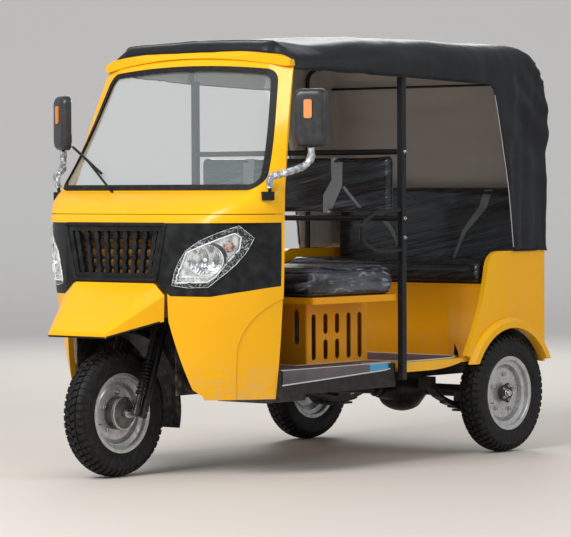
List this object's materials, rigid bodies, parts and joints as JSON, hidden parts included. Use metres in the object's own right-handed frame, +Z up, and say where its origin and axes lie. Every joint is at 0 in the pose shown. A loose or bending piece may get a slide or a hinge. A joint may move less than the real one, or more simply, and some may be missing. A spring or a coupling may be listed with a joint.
{
  "type": "passenger auto rickshaw",
  "caption": "Passenger three-wheeler with a yellow cab front, black canvas hood, slotted driver's seat box, rear bench, steered front wheel and rolling wheels.",
  "frame": {"origin": "on the ground, midway between the front of the front tyre and the back of the tail lamps, on the centre plane", "axes": "+X to the vehicle's left, -Y forward, +Z up"},
  "size_m": [1.5724, 2.535, 1.8757],
  "materials": {
    "black_paint": "satin black enamel",
    "black_plastic": "moulded black plastic",
    "canvas": "black coated canvas",
    "cast_metal": "cast",
    "glass": "clear",
    "lamp_amber": "amber lens",
    "lamp_red": "red lens",
    "mirror": "silvered",
    "reflector": "bright reflector",
    "rubber": "black rubber",
    "seat_cover": "black synthetic leather",
    "steel": "silver painted steel",
    "tyre": "black rubber",
    "yellow_paint": "gloss enamel"
  },
  "bodies": {
    "chassis": {"b_pillars": "black_paint", "beak": "yellow_paint", "bench_backrest": "seat_cover", "bench_cushion": "seat_cover", "bulkhead": "yellow_paint", "chassis_frame": "black_paint", "cowl": "yellow_paint", "dashboard": "black_plastic", "driver_backrest": "seat_cover", "driver_floor": "black_paint", "driver_seat": "seat_cover", "engine": "cast_metal", "exhaust": "steel", "fascia": "black_plastic", "grab_loops": "black_paint", "grille": "black_plastic", "headlamp_housing": "reflector", "headlamp_lens": "glass", "hood": "canvas", "hood_bows": "black_paint", "leaf_springs": "black_paint", "leg_shields": "yellow_paint", "mirror_arms": "black_paint", "mirror_glasses": "mirror", "mirror_shells": "black_plastic", "partition_rails": "black_paint", "passenger_floor": "yellow_paint", "propeller_shaft": "black_paint", "rear_axle": "black_paint", "rear_panel": "yellow_paint", "rear_sides": "yellow_paint", "roof_header": "yellow_paint", "seat_base": "yellow_paint", "seat_box": "yellow_paint", "side_repeaters": "lamp_amber", "tail_lamps": "lamp_red", "wheel_tubs": "black_plastic", "wheel_well": "black_plastic", "windscreen_frame": "yellow_paint", "windscreen_gasket": "rubber", "windscreen_glass": "glass", "wiper": "black_plastic"},
    "steering": {"fork": "black_paint", "front_links": "steel", "shock_absorbers": "black_paint", "front_mudguard": "black_plastic", "handlebar": "black_paint", "grips": "rubber"},
    "front_wheel": {"front_tyre": "tyre", "front_rim": "steel", "front_hub": "cast_metal"},
    "rear_wheel_left": {"rear_left_tyre": "tyre", "rear_left_rim": "steel", "rear_left_hub": "cast_metal"},
    "rear_wheel_right": {"rear_right_tyre": "tyre", "rear_right_rim": "steel", "rear_right_hub": "cast_metal"}
  },
  "joints": [
    {"name": "steering_turn", "type": "hinge", "parent": "chassis", "child": "steering", "pos_m": [0, -0.945, 0.2675], "axis": [0, 0.342, 0.9397], "range_deg": [-35, 35]},
    {"name": "front_wheel_spin", "type": "hinge", "parent": "steering", "child": "front_wheel", "pos_m": [0, -1, 0.2675], "axis": [1, 0, 0], "continuous": true},
    {"name": "rear_left_wheel_spin", "type": "hinge", "parent": "chassis", "child": "rear_wheel_left", "pos_m": [0.577, 0.942, 0.2675], "axis": [1, 0, 0], "continuous": true},
    {"name": "rear_right_wheel_spin", "type": "hinge", "parent": "chassis", "child": "rear_wheel_right", "pos_m": [-0.577, 0.942, 0.2675], "axis": [1, 0, 0], "continuous": true}
  ]
}
